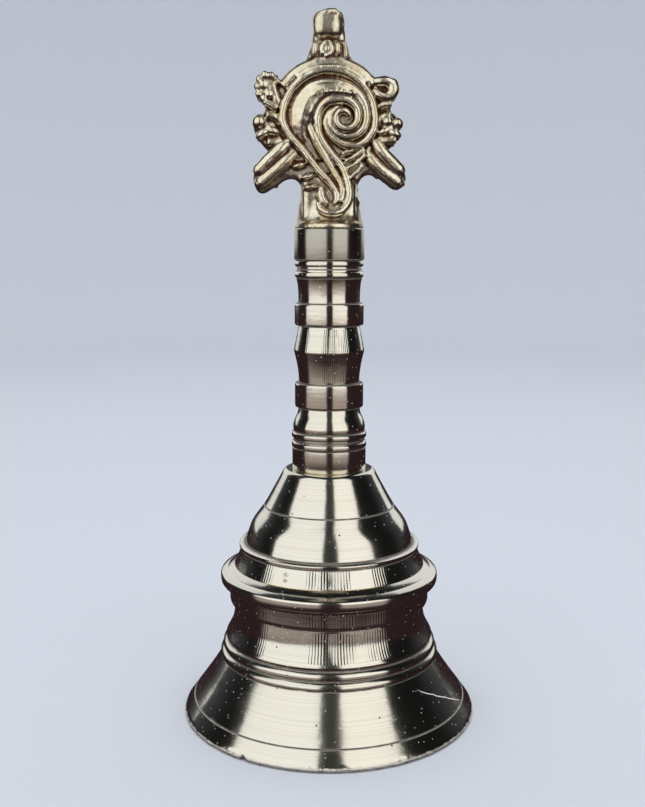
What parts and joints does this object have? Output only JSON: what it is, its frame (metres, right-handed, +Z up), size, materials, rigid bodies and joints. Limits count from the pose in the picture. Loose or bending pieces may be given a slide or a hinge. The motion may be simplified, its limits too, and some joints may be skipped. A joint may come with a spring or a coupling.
{
  "type": "hand bell",
  "caption": "Brass hand bell with a flared cup, a turned grip, a flat cast crest with a conch roundel, and a clapper hung inside on a link.",
  "frame": {"origin": "centre of the rim plane, on the bell's axis, where the bell stands", "axes": "+Z up the bell's axis from rim to crest; X across the flat of the crest; -Y towards the crest's front face"},
  "size_m": [0.08, 0.08, 0.1853],
  "materials": {
    "cup_brass": "polished",
    "grip_brass": "turned and polished",
    "crest_brass": "as cast, high spots polished",
    "rod_steel": "plain, lightly oxidised",
    "fastener_brass": "plain",
    "clapper_steel": "plain, lightly oxidised",
    "clapper_brass": "turned"
  },
  "bodies": {
    "bell": {"bell_cup": "cup_brass", "handle_grip": "grip_brass", "finial": "crest_brass", "hanger_eye_bolt": "rod_steel", "crown_washer": "fastener_brass", "crown_nut": "rod_steel"},
    "link": {"hanger_link": "clapper_steel"},
    "clapper": {"clapper_rod": "clapper_steel", "clapper_ball": "clapper_brass", "clapper_burr": "clapper_brass"}
  },
  "joints": [
    {"name": "clapper_strike", "type": "hinge", "parent": "bell", "child": "link", "pos_m": [0, 0, 0.05265], "axis": [0, 1, 0], "range_deg": [-28, 28]},
    {"name": "clapper_sway", "type": "hinge", "parent": "link", "child": "clapper", "pos_m": [0, 0, 0.0467], "axis": [1, 0, 0], "range_deg": [-8, 8]}
  ]
}
